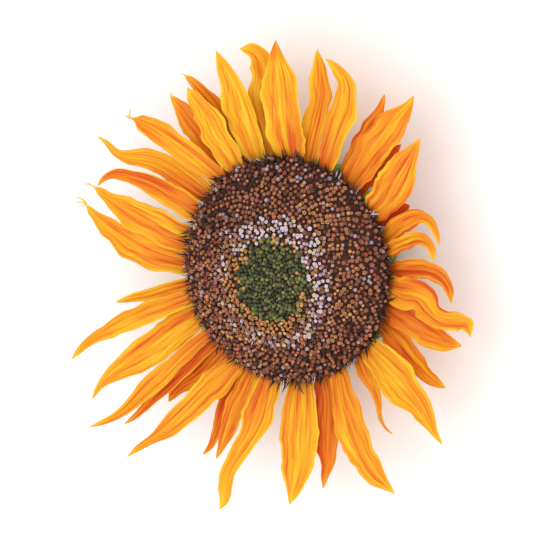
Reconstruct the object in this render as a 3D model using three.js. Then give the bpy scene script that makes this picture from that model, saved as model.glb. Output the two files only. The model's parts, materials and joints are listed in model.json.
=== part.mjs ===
// A cut sunflower head that lies on its back, face up.
// Millimetres, +Z up along the face's normal. The origin is the middle of the
// flat cut across the stalk, which the head rests on.

import * as THREE from 'three';

// Driving dimensions
const stalkRadius = 13;
const stalkNeckRadius = 14.5;
const stalkLength = 9;
const discRadius = 70;
const discRimHeight = 36;
const discCrown = 24;
const seatHeight = 32;
const seatRadius = 63.8;
const gap = 0.3;

// Rays stand in three rows round the edge of the receptacle, the front row highest.
const rayFootRadius = 64.9;
const rayRows = [
  { height: 30.5, rise: 25, riseAtTip: 10 },
  { height: 28.0, rise: 22.5, riseAtTip: 9 },
  { height: 25.5, rise: 20, riseAtTip: 8 },
];
const rayThickness = { foot: 1.3, tip: 0.9 };
const rayFootWidth = 6;
const rayTipWidth = 1.4;
const rayHollow = 0.09;
const rayStep = 7.5;

// Bracts stand in two rings behind the rays and bend back towards the stalk.
const bractRings = [
  { name: 'bract_upper', count: 8, turn: 350, foot: 64.9, height: 22.2, length: 20, width: 15, rise: -2, riseAtTip: -18 },
  { name: 'bract_lower', count: 8, turn: 19, foot: 60, height: 16.4, length: 24, width: 17, rise: -14, riseAtTip: -46 },
];
const bractThickness = { foot: 2.2, tip: 1.2 };
const bractTipWidth = 1.6;
const bractHollow = -0.1;

const discMaterial = { color: 0x4a2f2a, roughness: 0.85, metalness: 0 };
const rayMaterial = { color: 0xf9a11b, roughness: 0.55, metalness: 0 };
const backRayMaterial = { color: 0xea7620, roughness: 0.6, metalness: 0 };
const greenMaterial = { color: 0x6e8a3c, roughness: 0.7, metalness: 0 };
const stalkMaterial = { color: 0x86a04e, roughness: 0.7, metalness: 0 };

// Each ray: its row, the azimuth of its foot, its length in plan, and at six stations
// its width and the way that it heads, in degrees anticlockwise from straight out.
const stations = [0.1, 0.3, 0.5, 0.7, 0.85, 0.96];
const rays = [
  { row: 1, at: 0.5, length: 63, width: [10, 12, 12, 11, 7.5, 4], heads: [9, 5, -5, -30, -58, -76] },
  { row: 0, at: 352.5, length: 78, width: [18, 20, 17, 12, 11, 5], heads: [-4, 2, -36, 5, 0, -80] },
  { row: 1, at: 341, length: 65, width: [13, 17, 17, 15, 10, 4], heads: [-2, -3, -4, 4, 14, 8] },
  { row: 2, at: 331.5, length: 64, width: [13, 16, 15, 11, 8, 4], heads: [-2, -10, -16, -8, 0, 4] },
  { row: 0, at: 317.5, length: 87, width: [18, 23, 24, 18, 9, 3.5], heads: [11, 9, 5, -6, -12, -3] },
  { row: 1, at: 310.5, length: 59, width: [11, 11, 8, 5, 4.5, 3], heads: [-4, -6, -12, -26, 10, 30] },
  { row: 0, at: 297, length: 91, width: [14, 18, 21, 20, 12, 4.5], heads: [-3, -2, 3, 13, 26, 22] },
  { row: 2, at: 285, length: 73, width: [12, 16, 16, 13, 8, 3.5], heads: [2, -3, -9, -15, -26, -22] },
  { row: 1, at: 273.5, length: 80, width: [18, 24, 26, 23, 12.5, 5], heads: [3, 2, 0, -7, -14, -20] },
  { row: 0, at: 257.5, length: 90, width: [17, 19, 13, 10, 9, 5], heads: [2, -1, -18, -14, 18, -17] },
  { row: 1, at: 247, length: 63, width: [11, 14, 14, 11, 6, 3], heads: [0, 1, 2, 5, 6, 4] },
  { row: 2, at: 242, length: 67, width: [7, 9, 9, 7, 5, 3], heads: [-2, 0, 7, 14, 4, -16] },
  { row: 0, at: 238.5, length: 93, width: [14, 17, 16, 11, 5, 3], heads: [-9, -17, -10, -22, -25, -18] },
  { row: 2, at: 226.5, length: 55, width: [14, 18, 18, 14, 8, 4], heads: [-1, -3, -7, -4, 6, 10] },
  { row: 1, at: 221, length: 82, width: [9, 11, 11, 8, 5, 3], heads: [1, 4, 4, 6, 2, -8] },
  { row: 0, at: 217, length: 97, width: [9, 10, 12, 8.5, 4.5, 3], heads: [2, 10, 6, 6, -14, -22] },
  { row: 1, at: 206, length: 91, width: [16, 20, 20, 14, 7.5, 3.5], heads: [6, 11, 9, 6, 18, 34] },
  { row: 0, at: 196.5, length: 89, width: [11, 13, 13, 9, 5, 3], heads: [2, 4, 9, 11, 22, 30] },
  { row: 1, at: 190, length: 53, width: [8, 8, 8, 7, 4.5, 3], heads: [3, 4, 4, 3, 2, 8] },
  { row: 2, at: 180.5, length: 84, width: [16, 19, 20, 13.5, 5.5, 3], heads: [-12, -21, -34, -40, -46, -56] },
  { row: 1, at: 169, length: 76, width: [17, 20, 21, 14.5, 6, 3], heads: [-13, -20, -22, -22, -28, -26] },
  { row: 0, at: 153, length: 75, width: [15, 16, 12, 8, 5, 3], heads: [-15, -11, 1, 15, 50, 75] },
  { row: 1, at: 142, length: 82, width: [13, 15, 15, 10, 6, 4], heads: [-5, -2, 18, 34, -12, 6] },
  { row: 0, at: 129, length: 73, width: [13, 15, 15, 14, 10, 4.5], heads: [2, 6, 10, 17, 27, 34] },
  { row: 2, at: 124, length: 66, width: [13, 17, 18, 15, 8, 3], heads: [-2, -1, -1, -1, 2, 6] },
  { row: 0, at: 118.5, length: 62, width: [14, 18, 20, 19, 14, 7], heads: [-5, -8, -9, -6, -1, 2] },
  { row: 2, at: 113.5, length: 73, width: [10, 13, 14, 12, 7, 3.5], heads: [-2, -1, 3, 10, 22, 30] },
  { row: 1, at: 106.5, length: 77, width: [14, 18, 20, 16, 10, 4], heads: [-5, -8, -8, -4, 2, 6] },
  { row: 2, at: 97, length: 83, width: [15, 20, 22, 18.5, 15, 7], heads: [-5, -9, -11, -11, 34, 78] },
  { row: 0, at: 86.5, length: 81, width: [20, 26, 27, 24, 12.5, 4.5], heads: [-2, -2, 0, 3, 0, 0] },
  { row: 1, at: 78, length: 80, width: [11, 14, 15, 14, 9.5, 4.5], heads: [-8, -12, -11, 5, 12, 8] },
  { row: 0, at: 67, length: 87, width: [13, 16, 18, 15, 8, 4], heads: [-5, -9, -7, 12, 54, 76] },
  { row: 2, at: 57, length: 70, width: [9, 11, 11, 9, 6, 3.5], heads: [-2, -4, -5, -5, 5, 14] },
  { row: 1, at: 51.5, length: 85, width: [16, 21, 22, 19, 10, 4], heads: [-3, -5, -6, -7, -6, 4] },
  { row: 2, at: 46, length: 50, width: [7, 9, 10, 9, 6, 3], heads: [-3, -3, -4, -4, -3, -2] },
  { row: 0, at: 32, length: 72, width: [17, 21, 23, 18.5, 10, 4], heads: [6, 12, 18, 22, 22, 20] },
  { row: 2, at: 25.5, length: 32, width: [9, 10, 10, 8, 6, 3], heads: [4, 4, 5, 5, 5, 5] },
  { row: 1, at: 17.5, length: 61, width: [10, 12, 11, 7, 4.5, 3], heads: [15, 15, 4, -44, -82, -88] },
  { row: 0, at: 10.5, length: 53, width: [9, 10, 9, 7, 5, 3.5], heads: [14, 14, 8, -30, -74, -96] },
];

// A smooth line through values at rising places, flat past both ends.
function through(places, values) {
  const curve = new THREE.SplineCurve(places.map((place, i) => new THREE.Vector2(place, values[i])));
  const last = places.length - 1;
  return (t) => {
    if (t <= places[0]) return values[0];
    if (t >= places[last]) return values[last];
    let low = 0;
    while (places[low + 1] < t) low += 1;
    const share = (t - places[low]) / (places[low + 1] - places[low]);
    return curve.getPoint((low + share) / last).y;
  };
}

// The middle line of a blade in plan, with its height and the way it heads at each step.
function bladeLine({ at, foot, height, length, rise, riseAtTip, heading, steps }) {
  const finer = 8;
  const stride = length / (steps * finer);
  const place = new THREE.Vector3(foot * Math.cos(at), foot * Math.sin(at), height);
  const line = [];
  for (let i = 0; i <= steps * finer; i += 1) {
    const t = i / (steps * finer);
    const way = at + THREE.MathUtils.degToRad(heading(t));
    const climb = THREE.MathUtils.degToRad(THREE.MathUtils.lerp(rise, riseAtTip, t));
    const along = new THREE.Vector3(Math.cos(way), Math.sin(way), Math.tan(climb));
    if (i % finer === 0) line.push({ place: place.clone(), along: along.clone().normalize(), way });
    place.addScaledVector(along, stride);
  }
  return line;
}

// A thin closed blade: a box with a fold down its middle, bent along the line.
function bladeGeometry({ line, width, thickness, hollow }) {
  const steps = line.length - 1;
  const geometry = new THREE.BoxGeometry(2, steps, 1, 2, steps, 1);
  const corners = geometry.attributes.position;
  for (let i = 0; i < corners.count; i += 1) {
    const step = Math.round(corners.getY(i) + steps / 2);
    const t = step / steps;
    const { place, along, way } = line[step];
    const side = new THREE.Vector3(Math.sin(way), -Math.cos(way), 0);
    const up = new THREE.Vector3().crossVectors(side, along);
    const across = corners.getX(i);
    const thick = THREE.MathUtils.lerp(thickness.foot, thickness.tip, t);
    const lift = width(t) * hollow * Math.abs(across) + corners.getZ(i) * thick;
    const corner = place.clone();
    corner.addScaledVector(side, across * width(t) / 2);
    corner.addScaledVector(up, lift);
    corners.setXYZ(i, corner.x, corner.y, corner.z);
  }
  geometry.computeVertexNormals();
  return geometry;
}

function named(name, geometry, look) {
  const mesh = new THREE.Mesh(geometry, new THREE.MeshStandardMaterial(look));
  mesh.name = name;
  return mesh;
}

// A body of revolution about +Z from a profile of [radius, height] pairs.
function turned(profile, sides) {
  const points = profile.map(([radius, height]) => new THREE.Vector2(radius, height));
  return new THREE.LatheGeometry(points, sides).rotateX(Math.PI / 2);
}

function makeStalk() {
  const profile = [[0, 0], [stalkRadius, 0], [stalkNeckRadius, stalkLength], [0, stalkLength]];
  return named('stalk', turned(profile, 24), stalkMaterial);
}

function makeReceptacle() {
  const foot = stalkLength + gap;
  const profile = [
    [0, foot], [stalkNeckRadius, foot], [27, 10.4], [42, 13], [54, 17],
    [61, 22], [seatRadius, 27], [seatRadius, seatHeight], [0, seatHeight],
  ];
  return named('receptacle', turned(profile, 40), greenMaterial);
}

// The disc is a low dome. Its highest point stands a little off the axis, because the
// middle of the head leans towards the light.
function makeDisc() {
  const crownOffset = new THREE.Vector2(3, -4);
  const undersideRadius = 61.5;
  const rings = 8;
  const profile = [[0, seatHeight + gap], [undersideRadius, seatHeight + gap], [discRadius - 1, discRimHeight - 0.8]];
  for (let i = 0; i <= rings; i += 1) {
    const radius = discRadius * (1 - i / rings);
    profile.push([radius, discRimHeight + discCrown * (1 - (radius / discRadius) ** 2)]);
  }
  const geometry = turned(profile, 48);
  const corners = geometry.attributes.position;
  for (let i = 0; i < corners.count; i += 1) {
    const share = Math.hypot(corners.getX(i), corners.getY(i)) / discRadius;
    if (corners.getZ(i) < discRimHeight) continue;
    const shift = 1 - share ** 2;
    corners.setX(i, corners.getX(i) + crownOffset.x * shift);
    corners.setY(i, corners.getY(i) + crownOffset.y * shift);
  }
  geometry.computeVertexNormals();
  return named('disc', geometry, discMaterial);
}

function makeRay(ray, index) {
  const row = rayRows[ray.row];
  const steps = THREE.MathUtils.clamp(Math.round(ray.length / rayStep), 7, 12);
  const line = bladeLine({
    at: THREE.MathUtils.degToRad(ray.at),
    foot: rayFootRadius,
    height: row.height,
    length: ray.length,
    rise: row.rise,
    riseAtTip: row.riseAtTip,
    heading: through(stations, ray.heads),
    steps,
  });
  const width = through([0, ...stations, 1], [rayFootWidth, ...ray.width, rayTipWidth]);
  const geometry = bladeGeometry({ line, width, thickness: rayThickness, hollow: rayHollow });
  const name = `ray_${String(index + 1).padStart(2, '0')}`;
  return named(name, geometry, ray.row === 2 ? backRayMaterial : rayMaterial);
}

function makeBract(ring, index) {
  const line = bladeLine({
    at: THREE.MathUtils.degToRad(ring.turn + index * 360 / ring.count),
    foot: ring.foot,
    height: ring.height,
    length: ring.length,
    rise: ring.rise,
    riseAtTip: ring.riseAtTip,
    heading: () => 0,
    steps: 6,
  });
  const width = through([0, 0.25, 0.6, 1], [0.7 * ring.width, ring.width, 0.5 * ring.width, bractTipWidth]);
  const geometry = bladeGeometry({ line, width, thickness: bractThickness, hollow: bractHollow });
  return named(`${ring.name}_${index + 1}`, geometry, greenMaterial);
}

const head = new THREE.Group();
head.add(makeStalk(), makeReceptacle(), makeDisc());
rays.forEach((ray, index) => head.add(makeRay(ray, index)));
for (const ring of bractRings) {
  for (let index = 0; index < ring.count; index += 1) head.add(makeBract(ring, index));
}

export default head;
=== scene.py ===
# A cut sunflower head that lies on its back, face up.
# Metres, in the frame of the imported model: +Z is the face's normal.
import bmesh
import bpy
import json
import math
import numpy as np
import random
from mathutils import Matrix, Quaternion, Vector


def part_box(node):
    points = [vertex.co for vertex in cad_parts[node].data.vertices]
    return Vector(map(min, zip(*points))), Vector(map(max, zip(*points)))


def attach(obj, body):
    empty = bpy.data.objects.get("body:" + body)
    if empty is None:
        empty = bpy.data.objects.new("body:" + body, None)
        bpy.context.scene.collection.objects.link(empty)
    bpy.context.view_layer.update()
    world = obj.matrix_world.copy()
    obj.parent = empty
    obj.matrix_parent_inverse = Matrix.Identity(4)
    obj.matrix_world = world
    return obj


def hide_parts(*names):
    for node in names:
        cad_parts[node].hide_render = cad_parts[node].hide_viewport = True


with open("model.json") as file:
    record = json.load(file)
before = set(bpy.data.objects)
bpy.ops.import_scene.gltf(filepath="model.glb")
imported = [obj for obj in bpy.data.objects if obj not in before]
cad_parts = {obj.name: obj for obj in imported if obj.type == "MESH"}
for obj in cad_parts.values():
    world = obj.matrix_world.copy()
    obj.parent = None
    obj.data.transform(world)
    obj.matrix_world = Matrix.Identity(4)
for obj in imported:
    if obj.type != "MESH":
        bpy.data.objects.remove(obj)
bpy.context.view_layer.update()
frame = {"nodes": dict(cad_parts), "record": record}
mm = 0.001
almostOne = 0.9999       # keeps a place on a curve just short of its last stop
print("frame loaded:", len(frame["nodes"]), "nodes")


def linearColour(hexText):
    parts = [int(hexText[i:i + 2], 16) / 255 for i in (1, 3, 5)]
    return [c / 12.92 if c <= 0.04045 else ((c + 0.055) / 1.055) ** 2.4 for c in parts] + [1.0]


def addNode(tree, kind, values=None, links=None, **settings):
    node = tree.nodes.new(kind)
    for name, value in settings.items():
        setattr(node, name, value)
    for name, value in (values or {}).items():
        node.inputs[name].default_value = value
    for name, source in (links or {}).items():
        socket = source.outputs[0] if isinstance(source, bpy.types.Node) else source
        tree.links.new(socket, node.inputs[name])
    return node


def newMaterial(name, roughness, specular):
    material = bpy.data.materials.new(name)
    material.use_nodes = True
    tree = material.node_tree
    shader = tree.nodes["Principled BSDF"]
    shader.inputs["Roughness"].default_value = roughness
    shader.inputs["Specular IOR Level"].default_value = specular
    return material, tree, shader


def plainMaterial(name, hexText, roughness, specular=0.3):
    material, _, shader = newMaterial(name, roughness, specular)
    shader.inputs["Base Color"].default_value = linearColour(hexText)
    return material


def setRamp(ramp, stops):
    elements = ramp.color_ramp.elements
    while len(elements) > 1:
        elements.remove(elements[-1])
    elements[0].position, elements[0].color = stops[0][0], linearColour(stops[0][1])
    for place, hexText in stops[1:]:
        elements.new(place).color = linearColour(hexText)


def meshObject(name, points, faces, smooth=True):
    data = bpy.data.meshes.new(name)
    data.from_pydata([tuple(p) for p in points], [], faces)
    data.update()
    if smooth:
        data.polygons.foreach_set("use_smooth", [True] * len(data.polygons))
    piece = bpy.data.objects.new(name, data)
    bpy.context.scene.collection.objects.link(piece)
    return piece


def addPointValues(piece, name, values):
    layer = piece.data.attributes.new(name, "FLOAT", "POINT")
    layer.data.foreach_set("value", np.asarray(values, np.float32).ravel())


def finishPiece(piece, slotName, *nodes):
    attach(piece, "root")
    if nodes:
        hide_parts(*nodes)


def smoothStep(low, high, x):
    t = np.clip((np.asarray(x, float) - low) / (high - low), 0, 1)
    return t * t * (3 - 2 * t)


def throughPoints(rows, places):
    # A Catmull-Rom curve through the rows, read at fractional row numbers below the last.
    rows = np.asarray(rows, float)
    padded = np.vstack([2 * rows[0] - rows[1], rows, 2 * rows[-1] - rows[-2]])
    low = np.clip(np.floor(places).astype(int), 0, len(rows) - 2)
    t = (places - low)[:, None]
    a, b, c, d = (padded[low + k] for k in range(4))
    return 0.5 * (2 * b + (c - a) * t + (2 * a - 5 * b + 4 * c - d) * t ** 2
                  + (3 * b - a - 3 * c + d) * t ** 3)


def newBuild():
    return {"points": [], "faces": [], "parts": []}


def addLathe(build, profile, sides, part=0, lobes=0.0):
    # A closed body of revolution, in mm, from stops of radius and height. A stop's third value
    # says how far every other corner of its ring stands out as a lobe.
    rows = []
    for radius, height, *share in profile:
        row = []
        for j in range(sides if radius else 1):
            angle = 2 * math.pi * j / sides
            reach = radius * (1 + (lobes if j % 2 == 0 else -lobes) * (share[0] if share else 0))
            build["points"].append((reach * math.cos(angle) * mm, reach * math.sin(angle) * mm, height * mm))
            row.append(len(build["points"]) - 1)
        rows.append(row)
    addRows(build, rows, sides, part)


def addRows(build, rows, sides, part):
    # Joins rings of corners one to the next. A ring of one corner closes the end.
    for low, high in zip(rows, rows[1:]):
        for j in range(sides):
            k = (j + 1) % sides
            if len(low) == 1:
                face = (low[0], high[k], high[j])
            elif len(high) == 1:
                face = (low[j], low[k], high[0])
            else:
                face = (low[j], low[k], high[k], high[j])
            build["faces"].append(face)
            build["parts"].append(part)


def addTube(build, path, sides, part=0):
    # A closed tube with pointed ends through (x, y, z, radius) stops, in mm.
    rows = []
    for i, (x, y, z, radius) in enumerate(path):
        here = Vector((x, y, z))
        ahead = Vector(path[min(i + 1, len(path) - 1)][:3]) - Vector(path[max(i - 1, 0)][:3])
        turn = ahead.to_track_quat("Z", "X")
        row = []
        for j in range(sides if radius else 1):
            angle = 2 * math.pi * j / sides
            corner = here + turn @ Vector((radius * math.cos(angle), radius * math.sin(angle), 0))
            build["points"].append(tuple(corner * mm))
            row.append(len(build["points"]) - 1)
        rows.append(row)
    addRows(build, rows, sides, part)


discLow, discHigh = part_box("disc")
discCorners = np.array([v.co[:] for v in frame["nodes"]["disc"].data.vertices])
discRadius = (discHigh.x - discLow.x) / 2
rimHeight = discCorners[np.hypot(discCorners[:, 0], discCorners[:, 1]).argmax(), 2]
crownPoint = Vector(discCorners[discCorners[:, 2].argmax()])

cameraSettings = {
    "tilt": 28.0,        # degrees between the face's normal and the line to the camera
    "side": 20.0,        # azimuth that the camera leans towards
    "distance": 5.0,     # far off, with a long lens, so that near and far rays keep their sizes
    "frameWidth": 0.3316,  # what the view spans at the rim of the disc
    "aimRight": -0.0100,   # from the disc's middle to the middle of the view
    "aimUp": -0.0003,
    "sensor": 36,        # mm
    "farthest": 20,      # where the view ends
}


def makeCamera():
    s = cameraSettings
    tilt, side = math.radians(s["tilt"]), math.radians(s["side"])
    data = bpy.data.cameras.new("camera")
    data.sensor_width = s["sensor"]
    data.lens = data.sensor_width * s["distance"] / s["frameWidth"]
    data.clip_end = s["farthest"]
    camera = bpy.data.objects.new("camera", data)
    bpy.context.scene.collection.objects.link(camera)
    turn = Quaternion(Vector((-math.sin(side), math.cos(side), 0)), tilt)
    target = Vector((0, 0, rimHeight)) + turn @ Vector((s["aimRight"], s["aimUp"], 0))
    camera.rotation_mode = "QUATERNION"
    camera.rotation_quaternion = turn
    camera.location = target + turn @ Vector((0, 0, s["distance"]))
    bpy.context.scene.camera = camera


studioSettings = {
    "floorReach": 15,        # past where any view ends
    "skyStrength": 1.03,
    "lamps": [               # name, place, size across and watts
        ("keyLamp", (-0.3, 0.5, 2.2), 2.2, 8),
        ("fillLamp", (1.7, 0.4, 1.0), 1.6, 7),
        ("lowLamp", (-0.6, -1.5, 1.2), 1.5, 3),
    ],
}


def makeStudio():
    s = studioSettings
    r = s["floorReach"]
    floor = meshObject("floor", [(-r, -r, 0), (r, -r, 0), (r, r, 0), (-r, r, 0)], [(0, 1, 2, 3)], False)
    # matt white card, with hardly any sheen, so that it shows only the soft shadow
    floor.data.materials.append(plainMaterial("paleFloor", "#FCFCFC", 0.9, 0.1))
    for name, place, size, power in s["lamps"]:
        data = bpy.data.lights.new(name, "AREA")
        data.shape = "DISK"
        data.size = size
        data.energy = power
        lamp = bpy.data.objects.new(name, data)
        lamp.location = place
        lamp.rotation_euler = (-Vector(place)).to_track_quat("-Z", "Y").to_euler()
        bpy.context.scene.collection.objects.link(lamp)
    world = bpy.data.worlds.new("studio")
    world.use_nodes = True
    sky = world.node_tree.nodes["Background"]
    sky.inputs["Color"].default_value = (1, 1, 1, 1)
    sky.inputs["Strength"].default_value = s["skyStrength"]
    bpy.context.scene.world = world
    bpy.context.scene.view_settings.view_transform = "Standard"


makeCamera()
makeStudio()
print("camera and studio ready")


def bladeRings(nodeName):
    # Rays and bracts are drawn again from the model's plain blades, each a row of rings of six
    # corners. Returns each ring's left edge, middle and right edge, from the foot to the tip.
    mesh = bmesh.new()
    mesh.from_mesh(frame["nodes"][nodeName].data)
    bmesh.ops.remove_doubles(mesh, verts=mesh.verts, dist=2e-6)
    fromAxis = sorted(mesh.verts, key=lambda v: math.hypot(v.co.x, v.co.y))
    ring, seen, rings = set(fromAxis[:6]), set(), []
    while ring:
        rings.append([v.co.copy() for v in ring])
        seen |= ring
        ring = {e.other_vert(v) for v in ring for e in v.link_edges} - seen
    mesh.free()
    middles = [sum(r, Vector()) / len(r) for r in rings]
    edges = []
    for k, corners in enumerate(rings):
        ahead = middles[min(k + 1, len(rings) - 1)] - middles[max(k - 1, 0)]
        side = ahead.cross(Vector((0, 0, 1))).normalized()
        corners.sort(key=lambda p: p.dot(side))
        edges.append([(corners[2 * j] + corners[2 * j + 1]) / 2 for j in range(3)])
    return np.array(edges)


def smoothNoise(rng, shape, cells):
    # Random waves over a grid: coarse random values, smoothly filled in.
    coarse = rng.normal(size=(cells[0] + 1, cells[1] + 1))
    rows = throughPoints(coarse, np.linspace(0, cells[0], shape[0]) * 0.999)
    return throughPoints(rows.T, np.linspace(0, cells[1], shape[1]) * 0.999).T


def bladeFrame(nodeName, count, reach=1.0):
    # The blade's edges, its middle line and the way that it runs, at even steps.
    rings = bladeRings(nodeName)
    v = np.linspace(0, 1, count)
    places = v * reach * (len(rings) - 1) * almostOne
    left, middle, right = (throughPoints(rings[:, k], places) for k in range(3))
    ahead = np.gradient(middle, axis=0)
    ahead /= np.linalg.norm(ahead, axis=1)[:, None]
    return v, left, middle, right, ahead


def gridNormals(grid):
    normals = np.cross(np.gradient(grid, axis=1), np.gradient(grid, axis=0))
    return normals / (np.linalg.norm(normals, axis=2)[..., None] + 1e-12)


def addSheet(build, grid, thickness):
    # A thin closed blade from a grid of points: a top skin, a bottom skin and a rim.
    rows, columns = grid.shape[:2]
    half = gridNormals(grid) * thickness[..., None] / 2
    first = len(build["points"])
    below = rows * columns
    skins = np.concatenate([(grid + half).reshape(-1, 3), (grid - half).reshape(-1, 3)])
    build["points"] += [tuple(p) for p in skins]
    faces = []
    for i in range(rows - 1):
        for j in range(columns - 1):
            a, b = i * columns + j, i * columns + j + 1
            c, d = b + columns, a + columns
            faces.append((a, b, c, d))
            faces.append((d + below, c + below, b + below, a + below))
    loop = list(range(columns)) + [i * columns + columns - 1 for i in range(1, rows)]
    loop += [(rows - 1) * columns + j for j in range(columns - 2, -1, -1)]
    loop += [i * columns for i in range(rows - 2, 0, -1)]
    for a, b in zip(loop, loop[1:] + loop[:1]):
        faces.append((b, a, a + below, b + below))
    build["faces"] += [tuple(first + corner for corner in face) for face in faces]


def addCurl(build, start, ahead, turn, bend, reach, girth):
    # A thin strand at a blade's tip, rolled up by drying, that bends round as it goes. In mm and degrees.
    steps = 8
    place, path = Vector(start) / mm, []
    for i in range(steps):
        share = i / (steps - 1)
        way = Quaternion((0, 0, 1), math.radians(turn + bend * share)) @ Vector(ahead)
        path.append((*place, girth * (1 - share) ** 0.5 if i else 0))
        place = place + way * reach / (steps - 1)
    addTube(build, path, 6)


raySettings = {
    "lineSpacing": 3.3,      # mm between the pleats that run along a ray
    "columnsPerLine": 5,     # columns of faces for each pleat
    "rowSpacing": 1.25,      # mm between rows of faces
    "pleat": 0.34,           # mm
    "groove": 0.8,           # mm, the two deep folds beside the middle
    "foldPlaces": (0.22, 0.42),  # how far out those lie, as a share of half the width
    "thickness": 0.55,       # mm
    "ruffle": 1.1,           # mm at the edges of a ray 20 mm wide
    "ruffleTurns": (1.6, 3.2),   # waves from foot to tip
    "closeFrom": 0.93,       # where along a ray its tip starts to round off
    "tipLift": 4.0,          # mm
    "tone": {                # 0 is golden yellow and 1 is deep orange
        1: 0.8, 2: 0.6, 3: 0.7, 4: 0.6, 5: 0.2, 6: 0.55, 7: 0.35, 8: 0.65, 9: 0.15, 10: 0.25,
        11: 0.8, 12: 0.7, 13: 0.4, 14: 0.8, 15: 0.8, 16: 0.5, 17: 0.25, 18: 0.35, 19: 0.35,
        20: 0.4, 21: 0.25, 22: 0.6, 23: 0.35, 24: 0.4, 25: 0.75, 26: 0.1, 27: 0.75, 28: 0.1,
        29: 0.25, 30: 0.15, 31: 0.35, 32: 0.45, 33: 0.8, 34: 0.6, 35: 0.7, 36: 0.55, 37: 0.75,
        38: 0.5, 39: 0.55,
    },
    "twist": {               # degrees that a tip turns about the ray's middle line
        2: -22, 6: 40, 10: -25, 13: 14, 15: 25, 16: -28, 17: 18, 22: 25, 23: -20, 24: 24, 32: 18,
        38: -22, 39: -18,
    },
    "end": {20: 0.965, 21: 0.985, 22: 0.98, 25: 0.97, 27: 0.97},  # where a curl takes over from the blade
    "neck": {20: 0.95, 21: 0.92, 24: 0.9},  # past here the blade is drawn thin
    "curls": {               # turn and bend in degrees, then length and girth in mm
        20: [(-14, 95, 9.5, 0.65), (20, 60, 8.0, 0.6), (62, 40, 4.5, 0.55)],
        21: [(16, 30, 5.5, 0.6)],
        23: [(20, 45, 3.0, 0.5)],
        24: [(-10, -20, 3.0, 0.7), (-78, -30, 6.5, 0.65)],
        25: [(-14, -10, 4.5, 0.6)],
        27: [(-8, 16, 4.5, 0.8)],
    },
    "foldShade": {               # painted shade: red-orange strips where a ray's edge folds under, from and to along the blade, then across it
        1: (0.1, 0.8, 0.1, 0.5), 2: (0.25, 0.7, -1.3, -0.7), 3: (-0.1, 0.6, -1.3, -0.5),
        8: (0.1, 0.8, 0.6, 1.3), 22: (0.3, 0.9, 0.2, 0.75), 30: (0.9, 1.2, -1.3, 1.3),
        34: (0.0, 0.75, -1.3, -0.9), 35: (-0.2, 1.3, -1.4, 1.4), 36: (0.05, 0.62, 0.82, 1.3),
        37: (-0.2, 1.3, -1.4, 1.4), 38: (-0.1, 0.62, 0.76, 1.3), 39: (-0.1, 0.6, 0.74, 1.3),
    },
    "foldShadeSoftness": 0.12,   # how slowly such a strip fades in
    "plainTwist": 12,        # degrees either way, for rays that aren't listed under twist
}


def addRayLook(piece, index, u, v, pleatPlace, lines, folds):
    # What the material reads, on both skins. A curl has the look of the blade's yellow edge.
    s = raySettings
    nowhere = (2, 3, 2, 3)
    # painted shade: red-orange strips where an edge folds under, and over two back rays whole
    low, high, inner, outer = s["foldShade"].get(index, nowhere)
    soft = s["foldShadeSoftness"]
    foldShadeAlong = smoothStep(low - soft, low + soft, v) * smoothStep(high + soft, high - soft, v)
    foldShadeAcross = smoothStep(inner - soft, inner + soft, u) * smoothStep(outer + soft, outer - soft, u)
    curlCount = len(piece.data.vertices) - 2 * u.size * v.size
    for name, values, atCurl in [
            ("pleatPlace", pleatPlace, 0), ("veinPlace", u[None, :] * lines / 2, 0), ("fold", folds, 0),
            ("foldShade", foldShadeAlong[:, None] * foldShadeAcross[None, :], 0),
            ("along", v[:, None], 1), ("across", u[None, :], 1),
            ("tone", s["tone"][index], 0), ("seed", index * 3.7, 0)]:
        sheet = np.broadcast_to(values, (v.size, u.size)).ravel()
        curl = np.full(curlCount, float(atCurl))
        addPointValues(piece, name, np.concatenate([sheet, sheet, curl]))


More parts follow.
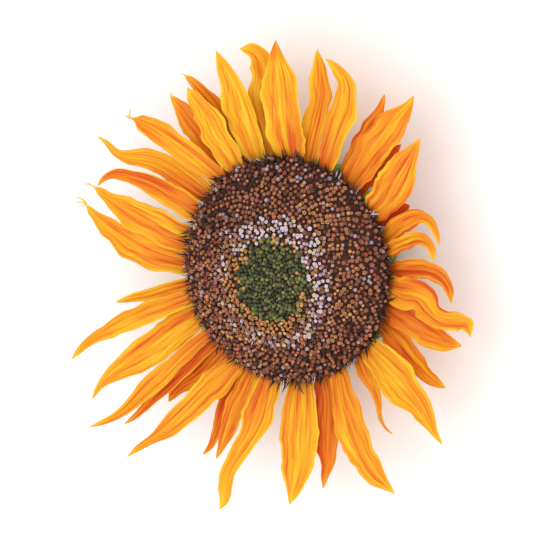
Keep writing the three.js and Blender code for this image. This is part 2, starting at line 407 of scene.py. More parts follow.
def makeRay(index):
    # One ray, drawn over the model's plain blade: u runs across it from -1 to 1, and v along it.
    s = raySettings
    rng = np.random.default_rng(100 + index)
    nodeName = f"ray_{index:02d}"
    rings = bladeRings(nodeName)
    widest = np.linalg.norm(rings[:, 2] - rings[:, 0], axis=1).max()
    length = np.linalg.norm(np.diff(rings[:, 1], axis=0), axis=1).sum()
    lines = max(3, round(widest / mm / s["lineSpacing"]))
    nu, nv = s["columnsPerLine"] * lines + 1, max(36, round(length / mm / s["rowSpacing"]))
    v, left, middle, right, ahead = bladeFrame(nodeName, nv, s["end"].get(index, 1.0))
    u = np.linspace(-1, 1, nu)
    reach, bow = (right - left) / 2, (right + left) / 2 - middle
    widthNow = np.linalg.norm(reach, axis=1) * 2
    # the blade turns about its middle line towards the tip
    plainTwist = rng.uniform(-s["plainTwist"], s["plainTwist"])
    twist = math.radians(s["twist"].get(index, plainTwist)) * smoothStep(0.3, 1, v)
    reach = reach * np.cos(twist)[:, None] + np.cross(ahead, reach) * np.sin(twist)[:, None]
    up = np.cross(reach, ahead)
    up /= np.linalg.norm(up, axis=1)[:, None]
    # the tip closes to a point, and the edges wander a little
    shut = ((v - s["closeFrom"]) / (1 - s["closeFrom"])).clip(0, 1)
    close = np.sqrt(np.clip(1 - shut ** 2, 0, 1)) * 0.98 + 0.02
    if index in s["neck"]:
        close = close * (1 - 0.72 * smoothStep(s["neck"][index] - 0.035, s["neck"][index] + 0.035, v))
    wander = 1 + 0.08 * smoothNoise(rng, (nv, 2), (9, 1)) * smoothStep(0.05, 0.3, v)[:, None]
    wander += 0.025 * smoothNoise(rng, (nv, 2), (22, 1))
    share = np.where(u[None, :] < 0, wander[:, :1], wander[:, 1:]) * u[None, :] * close[:, None]
    grid = middle[:, None] + share[..., None] * reach[:, None]
    grid = grid + (share ** 2)[..., None] * bow[:, None] * rng.uniform(0.5, 1.1)
    # pleats, two deep folds, ruffled edges and the lift of the tip, along the blade's own normal
    phase = rng.uniform(0, 2 * math.pi, 4)
    drift = 0.1 * smoothNoise(rng, (nv, nu), (4, 2))
    wave = np.cos(math.pi * lines * (u[None, :] + 1 + drift) + phase[0])
    strength = 0.7 + 0.45 * smoothNoise(rng, (nv, nu), (5, lines))
    fade = (smoothStep(0, 0.12, v) * (1 - 0.7 * smoothStep(0.7, 1, v)))[:, None]
    scale = (widthNow / widthNow.max())[:, None]
    pleats = s["pleat"] * mm * wave * strength * fade * (0.4 + 0.6 * scale)
    fold = rng.uniform(*s["foldPlaces"], 2)
    sway = u[None, :] + 0.05 * smoothNoise(rng, (nv, 1), (6, 1))
    folds = np.exp(-((sway - fold[0]) / 0.1) ** 2) + np.exp(-((sway + fold[1]) / 0.1) ** 2)
    folds = folds * fade
    edge = np.abs(u[None, :]) ** 2.5
    turns = rng.uniform(*s["ruffleTurns"], 2)
    ruffle = np.where(u[None, :] < 0, np.sin(2 * math.pi * turns[0] * v + phase[1])[:, None],
                      np.sin(2 * math.pi * turns[1] * v + phase[2])[:, None])
    ruffle = s["ruffle"] * mm * (widthNow / (20 * mm))[:, None] * edge * ruffle * fade
    tipRise = rng.uniform(-0.6, 1.0) * s["tipLift"] * mm * (((v - 0.6) / 0.4).clip(0, 1) ** 2)[:, None]
    grid = grid + (pleats - s["groove"] * mm * folds * scale + ruffle + tipRise)[..., None] * up[:, None]
    thickness = s["thickness"] * mm * (0.3 + 0.7 * (1 - np.abs(u[None, :]) ** 4)) * (1 - 0.5 * v[:, None])
    build = newBuild()
    addSheet(build, grid, thickness)
    for turn, bend, long, girth in s["curls"].get(index, []):
        addCurl(build, grid[-3, nu // 2], ahead[-1], turn, bend, long, girth)
    piece = meshObject(f"petal_{index:02d}", build["points"], build["faces"])
    pleatPlace = lines * (u[None, :] + 1 + drift) / 2 + phase[0] / math.tau
    addRayLook(piece, index, u, v, pleatPlace, lines, folds)
    return piece


def makeRayMaterial():
    # Petal tissue: a thin waxy skin, golden yellow, with orange veins in the pleats and
    # broad warm patches. It is soft, faintly glossy, and lets a little light through.
    material, tree, shader = newMaterial("petalTissue", 0.55, 0.12)
    shader.inputs["Subsurface Weight"].default_value = 0.12
    shader.inputs["Subsurface Radius"].default_value = (0.6 * mm, 0.3 * mm, 0.05 * mm)
    shader.inputs["Subsurface Scale"].default_value = 1.0
    along, across, side, tone, pleat, seed, fold, foldShade = (
        addNode(tree, "ShaderNodeAttribute", attribute_name=name).outputs["Fac"]
        for name in ("along", "across", "veinPlace", "tone", "pleatPlace", "seed", "fold", "foldShade"))

    # noise stretched along the blade: (how often across, how often along, detail)
    streaks = {}
    for name, often, alongOften, detail in [("broad", 0.9, 1.6, 2.0), ("fine", 3.0, 3.0, 2.0),
                                            ("broken", 1.3, 3.5, 1.0)]:
        wide = addNode(tree, "ShaderNodeMath", operation="MULTIPLY", values={1: often}, links={0: side})
        deep = addNode(tree, "ShaderNodeMath", operation="MULTIPLY", values={1: alongOften}, links={0: along})
        place = addNode(tree, "ShaderNodeCombineXYZ", links={"X": wide, "Y": deep, "Z": seed})
        streaks[name] = addNode(tree, "ShaderNodeTexNoise", links={"Vector": place},
                                values={"Scale": 1.0, "Detail": detail, "Roughness": 0.6}).outputs["Fac"]

    # a vein lies in each pleat's valley, and it comes and goes along its way
    vein = addNode(tree, "ShaderNodeMath", operation="PINGPONG", values={1: 0.5}, links={0: pleat})
    vein = addNode(tree, "ShaderNodeMapRange", interpolation_type="SMOOTHSTEP",
                   values={"From Min": 0.3, "From Max": 0.5}, links={"Value": vein})
    shown = addNode(tree, "ShaderNodeMapRange", values={"From Min": 0.36, "From Max": 0.6},
                    links={"Value": streaks["broken"]})
    vein = addNode(tree, "ShaderNodeMath", operation="MULTIPLY", links={0: vein, 1: shown})
    deepFold = addNode(tree, "ShaderNodeMath", operation="POWER", values={1: 3.0}, links={0: fold})
    deepFold = addNode(tree, "ShaderNodeMath", operation="MULTIPLY", links={0: deepFold, 1: shown})
    foot = addNode(tree, "ShaderNodeMapRange", interpolation_type="SMOOTHSTEP",
                   values={"From Min": 0.45, "From Max": 0.0}, links={"Value": along})
    rim = addNode(tree, "ShaderNodeMath", operation="ABSOLUTE", links={0: across})
    rim = addNode(tree, "ShaderNodeMapRange", interpolation_type="SMOOTHSTEP",
                  values={"From Min": 0.78, "From Max": 1.0}, links={"Value": rim})
    tip = addNode(tree, "ShaderNodeMapRange", interpolation_type="SMOOTHSTEP",
                  values={"From Min": 0.86, "From Max": 1.0}, links={"Value": along})

    # warmth runs from bright yellow, 0, to deep orange, 1
    warmth = addNode(tree, "ShaderNodeMath", operation="MULTIPLY_ADD", values={1: 0.42, 2: -0.885},
                     links={0: tone})
    # the fold strips add painted shade: the deep red-orange of edges that fold under
    for source, amount in [(streaks["broad"], 1.5), (streaks["fine"], 0.8), (vein, 0.36), (deepFold, 0.36),
                           (foot, 0.16), (rim, -0.3), (tip, -0.25), (foldShade, 0.55)]:
        warmth = addNode(tree, "ShaderNodeMath", operation="MULTIPLY_ADD", values={1: amount},
                         links={0: source, 2: warmth})
    ramp = addNode(tree, "ShaderNodeValToRGB", links={"Fac": warmth})
    setRamp(ramp, [(0.0, "#EFC434"), (0.2, "#ECB327"), (0.4, "#EA9F24"), (0.6, "#E68724"), (0.8, "#DF7020"),
                   (1.0, "#D0531D")])
    tree.links.new(ramp.outputs["Color"], shader.inputs["Base Color"])
    bump = addNode(tree, "ShaderNodeBump", values={"Strength": 0.4, "Distance": 0.15 * mm},
                   links={"Height": streaks["fine"]})
    tree.links.new(bump.outputs["Normal"], shader.inputs["Normal"])
    return material


rayCount = sum(1 for name in frame["nodes"] if name.startswith("ray_"))
slotOf = {part["node"]: part["material_slot"] for part in frame["record"]["subparts"]}
petalTissue = makeRayMaterial()
for index in range(1, rayCount + 1):
    petal = makeRay(index)
    petal.data.materials.append(petalTissue)
    nodeName = f"ray_{index:02d}"
    finishPiece(petal, slotOf[nodeName], nodeName)
print("petals made:", rayCount)


discSettings = {
    "edge": 0.975,          # the outermost florets, as a share of the model's disc
    "count": 2150,          # florets
    "crowding": 0.56,       # 0.5 spaces them evenly, and more crowds them towards the middle
    "bedDepth": 3.4,        # mm from the model's dome down to the bed
    "green": 25.0,          # mm, radius of the closed buds in the middle
    "jitter": 0.28,         # mm
    "blur": 2.4,            # mm that the bounds between colours wander
    "paleHeading": 48,      # degrees, where the pale ring is widest
    "darkHeading": 135,     # degrees, the darker side of the brown outer band
    "redSide": (150, 240),  # degrees, where more florets are brick red and rose
    "seed": 7,
    "bedSides": 96,
    "bedRings": 22,
    "bedFoot": 61,          # mm, radius of the bed's underside
}
crownHeight = crownPoint.z - rimHeight


def domePoint(rho, angle, sink=0.0):
    # A place on the model's dome, whose crown is off its middle. rho is a share of its radius.
    x = discRadius * rho * math.cos(angle) + (1 - rho ** 2) * crownPoint.x
    y = discRadius * rho * math.sin(angle) + (1 - rho ** 2) * crownPoint.y
    return Vector((x, y, rimHeight + crownHeight * (1 - rho ** 2) - sink))


def domeNormal(rho, angle):
    step = 0.004  # radians, and shares of the dome's radius
    rho = min(max(rho, step), 1.0)
    outward = domePoint(rho, angle) - domePoint(rho - step, angle)
    around = domePoint(rho, angle + step) - domePoint(rho, angle)
    return outward.cross(around).normalized()


def makeBed():
    # A closed dome that the florets stand on, with a flat underside.
    s = discSettings
    sides, ringCount, sink, foot = s["bedSides"], s["bedRings"], s["bedDepth"] * mm, s["bedFoot"] * mm
    points, faces = [], []
    for i in range(ringCount + 1):
        rho = s["edge"] * (1 - i / (ringCount + 1))
        for j in range(sides):
            points.append(domePoint(rho, 2 * math.pi * j / sides, sink))
    points.append(domePoint(0, 0, sink))
    top = len(points) - 1
    for j in range(sides):
        angle = 2 * math.pi * j / sides
        points.append(Vector((foot * math.cos(angle), foot * math.sin(angle), discLow.z)))
    for i in range(ringCount):
        for j in range(sides):
            a, b = i * sides + j, i * sides + (j + 1) % sides
            faces.append((a, b, b + sides, a + sides))
    for j in range(sides):
        faces.append((ringCount * sides + j, ringCount * sides + (j + 1) % sides, top))
        faces.append((top + 1 + (j + 1) % sides, (j + 1) % sides, j, top + 1 + j))
    faces.append(tuple(top + 1 + j for j in range(sides - 1, -1, -1)))
    bed = meshObject("discBed", points, faces)
    # the florets' bed: dull dark brown chaff with painted shade, seen only as the gaps between the florets
    bed.data.materials.append(plainMaterial("chaffBedGapShade", "#5E3D32", 0.9, 0.15))
    finishPiece(bed, "disc", "disc")


def prototype(name, *shapes):
    # Parts: 0 is the body, 1 the lobes and 2 the tips.
    build = newBuild()
    for add, settings in shapes:
        add(build, **settings)
    piece = meshObject(name, build["points"], build["faces"])
    layer = piece.data.attributes.new("part", "INT", "FACE")
    layer.data.foreach_set("value", build["parts"])
    return piece


def makeScatterTree(name):
    # Stands a prototype on each point, along the point's lean, with its own size and spin.
    tree = bpy.data.node_groups.new(name, "GeometryNodeTree")
    inputs = [("Geometry", "Geometry", None), ("Prototype", "Object", None), ("Size Spread", "Float", 0.16),
              ("Wobble", "Float", 0.1), ("Spin", "Float", math.tau), ("Seed", "Int", 1),
              ("Body", "Material", None), ("Lobes", "Material", None), ("Tips", "Material", None)]
    for label, kind, value in inputs:
        socket = tree.interface.new_socket(label, in_out="INPUT", socket_type="NodeSocket" + kind)
        if value is not None:
            socket.default_value = value
    tree.interface.new_socket("Geometry", in_out="OUTPUT", socket_type="NodeSocketGeometry")
    given = addNode(tree, "NodeGroupInput").outputs
    thing = addNode(tree, "GeometryNodeObjectInfo", links={"Object": given["Prototype"]})
    lean = addNode(tree, "GeometryNodeInputNamedAttribute", data_type="FLOAT_VECTOR", values={"Name": "lean"})
    girth = addNode(tree, "GeometryNodeInputNamedAttribute", data_type="FLOAT", values={"Name": "girth"})
    upright = addNode(tree, "FunctionNodeAlignRotationToVector", axis="Z", links={"Vector": lean})
    spread = given["Size Spread"]
    low = addNode(tree, "ShaderNodeMath", operation="SUBTRACT", values={0: 1.0}, links={1: spread})
    high = addNode(tree, "ShaderNodeMath", operation="ADD", values={0: 1.0}, links={1: spread})
    chance = addNode(tree, "FunctionNodeRandomValue", data_type="FLOAT",
                     links={2: low, 3: high, "Seed": given["Seed"]})
    scale = addNode(tree, "ShaderNodeMath", operation="MULTIPLY", links={0: chance.outputs[1], 1: girth})
    placed = addNode(tree, "GeometryNodeInstanceOnPoints",
                     links={"Points": given["Geometry"], "Instance": thing.outputs["Geometry"],
                            "Rotation": upright, "Scale": scale})
    tilt = addNode(tree, "ShaderNodeMath", operation="MULTIPLY", values={1: -1.0}, links={0: given["Wobble"]})
    turnLow = addNode(tree, "ShaderNodeCombineXYZ", links={"X": tilt, "Y": tilt})
    turnHigh = addNode(tree, "ShaderNodeCombineXYZ",
                       links={"X": given["Wobble"], "Y": given["Wobble"], "Z": given["Spin"]})
    turn = addNode(tree, "FunctionNodeRandomValue", data_type="FLOAT_VECTOR",
                   links={0: turnLow, 1: turnHigh, "Seed": given["Seed"]})
    turned = addNode(tree, "GeometryNodeRotateInstances", links={"Instances": placed, "Rotation": turn})
    shown = addNode(tree, "GeometryNodeRealizeInstances", links={"Geometry": turned})
    part = addNode(tree, "GeometryNodeInputNamedAttribute", data_type="INT", values={"Name": "part"})
    for number, label in enumerate(["Body", "Lobes", "Tips"]):
        chosen = addNode(tree, "FunctionNodeCompare", data_type="INT", operation="EQUAL",
                         values={3: number}, links={2: part})
        shown = addNode(tree, "GeometryNodeSetMaterial",
                        links={"Geometry": shown, "Selection": chosen, "Material": given[label]})
    addNode(tree, "NodeGroupOutput", links={"Geometry": shown})
    return tree


scatterTree = makeScatterTree("standOnPoints")


def scatter(name, thing, spots, materials, **inputs):
    # spots holds (place, lean, girth) for each copy. Returns a plain mesh of them all.
    seat = meshObject(name, [spot[0] for spot in spots], [], False)
    lean = seat.data.attributes.new("lean", "FLOAT_VECTOR", "POINT")
    lean.data.foreach_set("vector", np.array([spot[1][:] for spot in spots], np.float32).ravel())
    addPointValues(seat, "girth", [spot[2] for spot in spots])
    modifier = seat.modifiers.new("stand", "NODES")
    modifier.node_group = scatterTree
    items = scatterTree.interface.items_tree
    given = {item.name: item.identifier for item in items if item.in_out == "INPUT"}
    modifier[given["Prototype"]] = thing
    for label, material in zip(("Body", "Lobes", "Tips"), materials):
        modifier[given[label]] = material
    for label, value in inputs.items():
        modifier[given[label]] = value
    bpy.context.view_layer.update()
    shown = seat.evaluated_get(bpy.context.evaluated_depsgraph_get())
    data = bpy.data.meshes.new_from_object(shown)
    seat.modifiers.clear()
    seat.data = data
    data.name = name
    for spare in ("lean", "girth", "part"):
        if spare in data.attributes:
            data.attributes.remove(data.attributes[spare])
    return seat


makeBed()

floretWidth = 2.5        # mm across the shapes below, which are scaled to the room they have
corollaTube = (addLathe, dict(
    profile=[(0, -0.4), (0.75, -0.4), (0.95, 1.4), (1.1, 2.3), (0.8, 2.6), (0, 2.4)], sides=8))
corollaLobes = (addLathe, dict(
    profile=[(0, 2.1), (0.7, 2.2, 0.3), (1.22, 2.7, 1.0), (1.05, 3.05, 1.0), (0.5, 2.7, 0.3), (0, 2.5)],
    sides=10, part=1, lobes=0.16))
floretShapes = {
    "bud": prototype("bud", (addLathe, dict(
        profile=[(0, -0.4), (1.0, -0.4), (1.4, 1.4), (1.0, 2.6), (0, 3.1)], sides=6))),
    "open": prototype("openFloret", corollaTube, corollaLobes, (addTube, dict(
        path=[(0, 0, 2.4, 0), (0, 0, 2.6, 0.3), (0.05, 0, 3.3, 0.26), (0.4, 0.1, 3.8, 0.18),
              (0.75, 0.15, 3.75, 0)], sides=4, part=2)), (addTube, dict(
        path=[(0, 0, 3.0, 0), (-0.1, 0, 3.3, 0.2), (-0.45, -0.1, 3.75, 0.16), (-0.75, -0.1, 3.6, 0)],
        sides=4, part=2))),
    "spent": prototype("spentFloret", corollaTube, (addLathe, dict(
        profile=[(0, 2.0), (0.9, 2.1, 0.5), (1.12, 2.7, 0.7), (0.75, 3.2, 1.0), (0, 3.45)],
        sides=8, part=1, lobes=0.16))),
    "style": prototype("paleStyle", (addTube, dict(
        path=[(0, 0, 0.4, 0), (0, 0, 0.9, 0.3), (0.1, 0, 2.4, 0.4), (0.35, 0, 3.7, 0.34), (0.7, 0, 4.4, 0)],
        sides=5))),
    "thread": prototype("chaffThread", (addTube, dict(
        path=[(0, 0, -0.5, 0), (0, 0, 0, 0.4), (0.2, 0, 2.5, 0.42), (0.8, 0, 5.5, 0.36), (1.9, 0, 8.6, 0)],
        sides=5))),
    "spike": prototype("chaffSpike", (addTube, dict(
        path=[(0, 0, -0.5, 0), (0, 0, 0, 0.5), (0.12, 0, 1.8, 0.42), (0.5, 0, 3.6, 0.25), (1.2, 0, 5.4, 0)],
        sides=4))),
}

# Floret skin and chaff: thin dry plant tissue, dull, with only a faint sheen. A floret is dark at the foot,
# in the tube's own brown with painted shade among the florets, and paler where it opens, so each one takes up
# to three of these.
floretRoughness = 0.7
floretColours = {
    "black": "#352528", "plum": "#60382F", "darkBrown": "#6B4434", "brown": "#8A5944",
    "russet": "#A4694C", "rust": "#B87650", "ochre": "#C8955A", "orangeBrown": "#C98C4E",
    "lilac": "#D9C9D6", "cream": "#D8C4A6", "mauve": "#AC9499", "blueGrey": "#8C8A9C",
    "rose": "#C07D74", "brick": "#A64C38", "green": "#565A34", "olive": "#706C40",
    "deepGreen": "#3B4128", "yellowGreen": "#8A8146", "shadowGreen": "#33362B", "rimDark": "#251C21",
}
floretMaterials = {
    look: plainMaterial("floret" + look[0].upper() + look[1:], hexText, floretRoughness)
    for look, hexText in floretColours.items()}


def pickColour(rng, **weights):
    return rng.choices(list(weights), list(weights.values()))[0]


def dealFlorets():
    # Each floret gets its kind and colours from how far out and on which side it grows.
    s = discSettings
    rng = random.Random(s["seed"])
    goldenAngle = math.radians(137.508)
    paleHeading, darkHeading = math.radians(s["paleHeading"]), math.radians(s["darkHeading"])
    groups = {}
    for number in range(1, s["count"] + 1):
        rho = s["edge"] * (number / s["count"]) ** s["crowding"]
        angle = number * goldenAngle
        crowd = (number / s["count"]) ** (s["crowding"] - 0.5) * math.sqrt(2 * s["crowding"])
        spacing = s["edge"] * discRadius / mm * math.sqrt(math.pi / s["count"]) * crowd
        girth = spacing / floretWidth
        shift = (rng.gauss(0, s["jitter"]), rng.gauss(0, s["jitter"]))
        place = domePoint(rho, angle, s["bedDepth"] * mm) + Vector((*shift, 0)) * mm
        lean = domeNormal(rho, angle)
        # radii in mm, with ragged bounds, and how pale and how dark this side is, from 0 to 1
        r = rho * discRadius / mm + rng.uniform(-s["blur"], s["blur"]) + s["blur"] * math.cos(angle)
        paleSide = min(max(0.62 + 0.8 * math.cos(angle - paleHeading), 0), 1)
        paleInner = s["green"] + 9.5 * (1 - paleSide) ** 1.2
        paleOuter = paleInner + 8 + 5 * paleSide
        shade = 0.5 + 0.15 * math.sin(3 * angle + rho * 9) + 0.12 * math.cos(angle - darkHeading)
        shade = min(max(shade + 0.33 * math.cos(2 * (angle - darkHeading)), 0), 1)
        if r < s["green"] - 0.5:
            kind = "bud"
            girth *= 1.08
            look = pickColour(rng, green=4, olive=2.4, deepGreen=3, yellowGreen=1.1, shadowGreen=1.6,
                              orangeBrown=2.2 * (r / s["green"]) ** 5)
        elif r < paleInner:
            kind = "open" if rng.random() < 0.5 else "spent"
            look = pickColour(rng, orangeBrown=5, rust=2.4, ochre=3, olive=0.8, brown=0.6, cream=0.5)
        elif r < paleOuter:
            kind = "open"
            look = pickColour(rng, lilac=0.4 + 4.2 * paleSide, cream=0.3 + 1.9 * paleSide, mauve=1.9,
                              rose=0.25 + 0.5 * paleSide, brown=1.2, rust=2.2 - 1.8 * paleSide,
                              russet=1.6 * (1 - paleSide), plum=1.1)
        else:
            outer = float(smoothStep(50, 64, r))
            edge = float(smoothStep(64, 68, r))
            light = (1 - shade) * (1 - outer)
            red = s["redSide"][0] < math.degrees(angle) % 360 < s["redSide"][1]
            kind = "open" if rng.random() < 0.5 else "spent"
            look = pickColour(rng, russet=4, brown=2.8, rust=3.6 * light + 0.5, ochre=1.8 * light + 0.15,
                              darkBrown=1, plum=0.3 + outer + shade,
                              black=0.2 + 0.8 * outer + 1.2 * shade + 3 * edge, mauve=0.6,
                              rose=0.7 if red else 0.3, blueGrey=0.12 + 0.3 * outer,
                              brick=1.0 if red else 0.45)
        groups.setdefault((kind, look), []).append((place, lean, girth))
        if kind == "open" and paleInner < r < paleOuter and paleSide < 0.7 and rng.random() < 0.8:
            # a pale style leans outwards over the florets beyond it
            out = Vector((math.cos(angle), math.sin(angle), 0))
            styleLook = pickColour(rng, lilac=1.6, mauve=2.2, blueGrey=1)
            spot = (place, (lean * 0.8 + out).normalized(), girth * 0.85)
            groups.setdefault(("style", styleLook), []).append(spot)
    return groups


# a floret's foot, dark brown with painted shade among the florets, and its style's tips, where they differ
# from its lobes
shadedFootOf = {"open": "darkBrown", "spent": "darkBrown"}
tipOf = {"orangeBrown": "ochre", "rust": "ochre", "russet": "rust", "brown": "russet", "plum": "brown",
         "black": "plum", "mauve": "lilac", "ochre": "darkBrown"}
for (kind, look), spots in sorted(dealFlorets().items()):
    skins = [floretMaterials[key] for key in (shadedFootOf.get(kind, look), look, tipOf.get(look, look))]
    name = f"florets_{kind}_{look}"
    florets = scatter(name, floretShapes[kind], spots, skins, Seed=len(spots), Wobble=0.28)
    finishPiece(florets, "disc", "disc")
print("florets made")


rimSettings = {
    "count": 380,            # spikes of chaff
    "rise": (8, 65),         # degrees over the level
    "swing": 0.35,           # radians either side of straight out
    "slim": (0.55, 1.05),    # sizes of most spikes
    "stout": (1.2, 1.9),     # and of one in five
    "pale": (0.8, 1.25),     # and of the pale ones
    "paleArcs": [(20, 62), (95, 118)],  # degrees, where some spikes are pale
    "paleShare": 0.28,
    "sink": 2.2,             # mm below the dome
    "threads": (0, 13, 17, 83, 110, 117, 146, 200, 267, 282, 303, 336, 354),  # degrees, single long ones
    "threadSink": 1.5,       # mm
}


def makeRimChaff():
    # Stiff dark chaff stands out over the feet of the rays, with pale tufts on one side.
    s = rimSettings
    rng = random.Random(3)
    groups = {"rimDark": [], "black": [], "plum": [], "blueGrey": [], "lilac": []}
    for i in range(s["count"]):
        angle = 2 * math.pi * (i + rng.uniform(-0.45, 0.45)) / s["count"]
        rise = math.radians(rng.uniform(*s["rise"]))
        swing = angle + rng.uniform(-s["swing"], s["swing"])
        out = Vector((math.cos(swing), math.sin(swing), 0))
        lean = (out * math.cos(rise) + Vector((0, 0, math.sin(rise)))).normalized()
        girth = rng.uniform(*s["slim"]) if rng.random() < 0.8 else rng.uniform(*s["stout"])
        inArc = any(low < math.degrees(angle) < high for low, high in s["paleArcs"])
        if inArc and rng.random() < s["paleShare"]:
            look = rng.choice(["blueGrey", "lilac"])
            girth = rng.uniform(*s["pale"])
        else:
            look = rng.choice(["rimDark", "rimDark", "black", "plum"])
        groups[look].append((domePoint(discSettings["edge"] + 0.005, angle, s["sink"] * mm), lean, girth))
    for look, spots in groups.items():
        skin = floretMaterials[look]
        chaff = scatter(f"rimChaff_{look}", floretShapes["spike"], spots, [skin] * 3, Seed=5, Wobble=0.15)
        finishPiece(chaff, "disc", "disc")
    spots = []
    for degrees in s["threads"]:
        angle = math.radians(degrees + rng.uniform(-1.5, 1.5))
        out = Vector((math.cos(angle), math.sin(angle), 0))
        rise = math.radians(rng.uniform(25, 45))
        lean = out * math.cos(rise) + Vector((0, 0, math.sin(rise)))
        foot = domePoint(discSettings["edge"], angle, s["threadSink"] * mm)
        spots.append((foot, lean, rng.uniform(0.8, 1.15)))
    skin = floretMaterials["plum"]
    threads = scatter("rimThreads", floretShapes["thread"], spots, [skin] * 3, Seed=6, Wobble=0.1)
    finishPiece(threads, "disc", "disc")


makeRimChaff()
for shape in floretShapes.values():
    bpy.data.objects.remove(shape)
print("disc made")

greenSettings = {
    "copies": {              # degrees from a ring's blades to those that stand between them
        "bract_upper": (0, 8, 20, 31), "bract_lower": (0, 11, 21)},
    "size": {"bract_upper": 0.85, "bract_lower": 1.0},   # share of the model's plain bracts
    "sizeSpread": (0.82, 1.0),
    "hug": {"bract_upper": 0.55, "bract_lower": 0.2},    # share of its reach that a tip is pulled in
    "droop": {"bract_upper": 0.6, "bract_lower": 0.05},  # and down
    "bendSpread": (0.8, 1.2),
    "closeSide": 10,         # degrees, where the bracts lie closest to the receptacle
    "closer": 0.4,           # how much more a tip there is pulled in
    "footSink": 0.8,         # mm that a foot goes into the receptacle
    "layer": 1.1,            # mm that every other bract of a group lies lower
    "clearance": 1.2,        # mm that the lowest tips stay above the ground
    "softness": 3,           # mm over which a tip levels out above the ground
    "midrib": 0.8,           # mm
    "veins": 0.22,           # mm
    "thickness": 0.9,        # mm
    "columns": 13,           # of faces across a bract
    "rows": 24,              # and along it
}


def makeBracts(name, prefix):
    # One ring of bracts: pointed blades with a midrib, and more of them between the model's own.
    s = greenSettings
    nodes = sorted(n for n in frame["nodes"] if n.startswith(prefix))
    build = newBuild()
    columns, rows = s["columns"], s["rows"]
    ground, soft = s["clearance"] * mm, s["softness"] * mm
    u = np.linspace(-1, 1, columns)
    for number, nodeName in enumerate(nodes):
        v, left, middle, right, ahead = bladeFrame(nodeName, rows)
        outward = middle[0] * (1, 1, 0) / np.linalg.norm(middle[0, :2])
        for copyNumber, turn in enumerate(s["copies"][prefix]):
            rng = np.random.default_rng(10 * number + copyNumber)
            size = rng.uniform(*s["sizeSpread"]) * s["size"][prefix]
            offset = (middle - middle[0]) * size
            pull = (offset @ outward)[:, None] * v[:, None]
            angle = math.radians(turn)
            heading = math.atan2(outward[1], outward[0]) + angle
            hug = s["hug"][prefix] * rng.uniform(*s["bendSpread"])
            hug += s["closer"] * max(0.0, math.cos(heading - math.radians(s["closeSide"]))) ** 0.5
            droop = s["droop"][prefix] * rng.uniform(*s["bendSpread"])
            line = middle[0] - outward * (s["footSink"] * mm + pull * hug) + offset
            line = line - np.array((0, 0, 1)) * (pull * droop + copyNumber % 2 * s["layer"] * mm)
            reach = (right - left) / 2 * (1.3 - 1.15 * smoothStep(0.12, 0.95, v))[:, None] * size
            up = np.cross(reach, ahead)
            up /= np.linalg.norm(up, axis=1)[:, None]
            grid = line[:, None] + u[None, :, None] * reach[:, None]
            # in mm: a midrib and veins that fade to the tip, edges that turn down, and a little waviness
            relief = s["midrib"] * np.exp(-(u / 0.13) ** 2) + s["veins"] * np.cos(5 * math.pi * np.abs(u))
            relief = relief[None, :] * (1 - v[:, None]) - 1.5 * np.abs(u[None, :]) ** 2 * v[:, None]
            relief = relief + 0.5 * smoothNoise(rng, (rows, columns), (4, 3))
            grid = grid + (relief * mm)[..., None] * up[:, None]
            grid[..., 2] = ground + soft * np.logaddexp(0, (grid[..., 2] - ground) / soft)
            spin = np.array([[math.cos(angle), -math.sin(angle), 0],
                             [math.sin(angle), math.cos(angle), 0], [0, 0, 1]])
            thickness = s["thickness"] * mm * (1 - 0.7 * u[None, :] ** 4) * (1 - 0.6 * v[:, None])
            addSheet(build, grid @ spin.T, thickness)
    piece = meshObject(name, build["points"], build["faces"])
    piece.data.materials.append(greenTissue)
    finishPiece(piece, slotOf[nodes[0]], *nodes)
    return piece


lathedSettings = {
    "receptacle": {"rows": 30, "sides": 180, "ribs": 36, "ribDepth": 0.5},   # depths in mm
    "stalk": {"rows": 12, "sides": 112, "ribs": 14, "ribDepth": 0.5},
    "pithRadius": 10.2,      # mm
}


def ribbedLathe(name, nodeName):
    # The node's own profile, smoothed, with shallow ribs round it.
    s = lathedSettings[nodeName]
    rows, sides, ribs, depth = s["rows"], s["sides"], s["ribs"], s["ribDepth"]
    corners = {(round(math.hypot(v.co.x, v.co.y) / mm, 1), round(v.co.z / mm, 1))
               for v in frame["nodes"][nodeName].data.vertices}
    profile = sorted((c for c in corners if c[0] > 0), key=lambda c: (c[1], c[0]))
    line = throughPoints(profile, np.linspace(0, len(profile) - 1, rows) * almostOne)
    build = newBuild()
    rng = np.random.default_rng(4)
    rough = smoothNoise(rng, (rows, sides), (6, 24))
    rough[:, -1] = rough[:, 0]  # closes the seam
    rings = []
    for i, (radius, height) in enumerate(line):
        fade = math.sin(math.pi * i / (rows - 1)) ** 0.5
        ring = []
        for j in range(sides):
            angle = 2 * math.pi * j / sides
            reach = radius + fade * depth * (math.cos(ribs * angle) + 0.5 * rough[i, j])
            build["points"].append((reach * math.cos(angle) * mm, reach * math.sin(angle) * mm, height * mm))
            ring.append(len(build["points"]) - 1)
        rings.append(ring)
    bottom = len(build["points"])
    build["points"] += [(0, 0, line[0][1] * mm), (0, 0, line[-1][1] * mm)]
    rings = [[bottom]] + rings + [[bottom + 1]]
    addRows(build, rings, sides, 0)
    piece = meshObject(name, build["points"], build["faces"])
    finishPiece(piece, slotOf[nodeName], nodeName)
    return piece


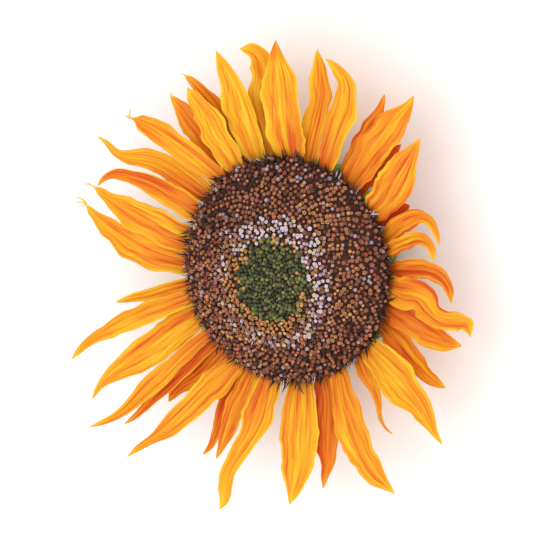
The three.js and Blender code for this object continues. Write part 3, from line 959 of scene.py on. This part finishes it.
def makeGreenMaterial(name, stops, roughness):
    # Fresh green plant skin: matt, with blotches a few millimetres wide and finer flecks.
    material, tree, shader = newMaterial(name, roughness, 0.25)
    place = addNode(tree, "ShaderNodeTexCoord").outputs["Object"]
    blotch = addNode(tree, "ShaderNodeTexNoise", links={"Vector": place},
                     values={"Scale": 0.2 / mm, "Detail": 4.0, "Roughness": 0.6})
    ramp = addNode(tree, "ShaderNodeValToRGB", links={"Fac": blotch})
    setRamp(ramp, stops)
    tree.links.new(ramp.outputs["Color"], shader.inputs["Base Color"])
    fleck = addNode(tree, "ShaderNodeTexNoise", values={"Scale": 1.2 / mm, "Detail": 2.0},
                    links={"Vector": place})
    bump = addNode(tree, "ShaderNodeBump", values={"Strength": 0.5, "Distance": 0.2 * mm},
                   links={"Height": fleck})
    tree.links.new(bump.outputs["Normal"], shader.inputs["Normal"])
    return material


greenTissue = makeGreenMaterial("bractTissue", [(0.3, "#4B6429"), (0.5, "#67823A"), (0.7, "#8A9F50")], 0.65)
stalkSkin = makeGreenMaterial("stalkSkin", [(0.3, "#6F8A40"), (0.5, "#8CA552"), (0.7, "#A9BC6E")], 0.6)
# pith: dry white foam with the same blotches, paler and with no sheen to speak of
pithFoam = makeGreenMaterial("pithFoam", [(0.3, "#DAD9B4"), (0.5, "#EAE8CC"), (0.7, "#F3F1DE")], 0.9)
bracts = [makeBracts("bractsUpper", "bract_upper"), makeBracts("bractsLower", "bract_lower")]
receptacle = ribbedLathe("receptacleSkin", "receptacle")
receptacle.data.materials.append(greenTissue)
stalk = ribbedLathe("stalkStub", "stalk")
stalk.data.materials.append(stalkSkin)
stalk.data.materials.append(pithFoam)
# white pith fills the middle of the cut across the stalk
for face in stalk.data.polygons:
    if face.normal.z < -0.9 and face.center.xy.length < lathedSettings["pithRadius"] * mm:
        face.material_index = 1
print("green parts made")


hairSettings = {
    "counts": {"bractsUpper": 1500, "bractsLower": 1500, "receptacleSkin": 500, "stalkStub": 260},
    "shape": [(0, 0, -0.2, 0), (0, 0, 0, 0.12), (0.15, 0, 1.0, 0.08), (0.5, 0, 1.9, 0)],  # mm
    "size": (0.6, 1.2),
    "lowest": 1.5,           # mm over the ground
}


def makeHairs():
    # Short stiff hairs on the green skin, thicker than life so that they show.
    s = hairSettings
    rng = random.Random(11)
    shape = prototype("hair", (addTube, dict(path=s["shape"], sides=3)))
    spots = []
    for thing in [*bracts, receptacle, stalk]:
        faces = list(thing.data.polygons)
        for face in rng.choices(faces, [f.area for f in faces], k=s["counts"][thing.name]):
            hidden = face.normal.z > 0.5 or (thing is stalk and abs(face.normal.z) > 0.9)
            hidden = hidden or face.center.z < s["lowest"] * mm
            if not hidden:
                spots.append((face.center.copy(), face.normal.copy(), rng.uniform(*s["size"])))
    # dry plant hair: pale green, thin enough to catch the light at its edge
    skin = plainMaterial("hairPale", "#C9CFA0", 0.6)
    hairs = scatter("greenHairs", shape, spots, [skin] * 3, Seed=2, Wobble=0.3)
    finishPiece(hairs, slotOf["stalk"], "stalk")
    bpy.data.objects.remove(shape)


makeHairs()
print("hairs made")
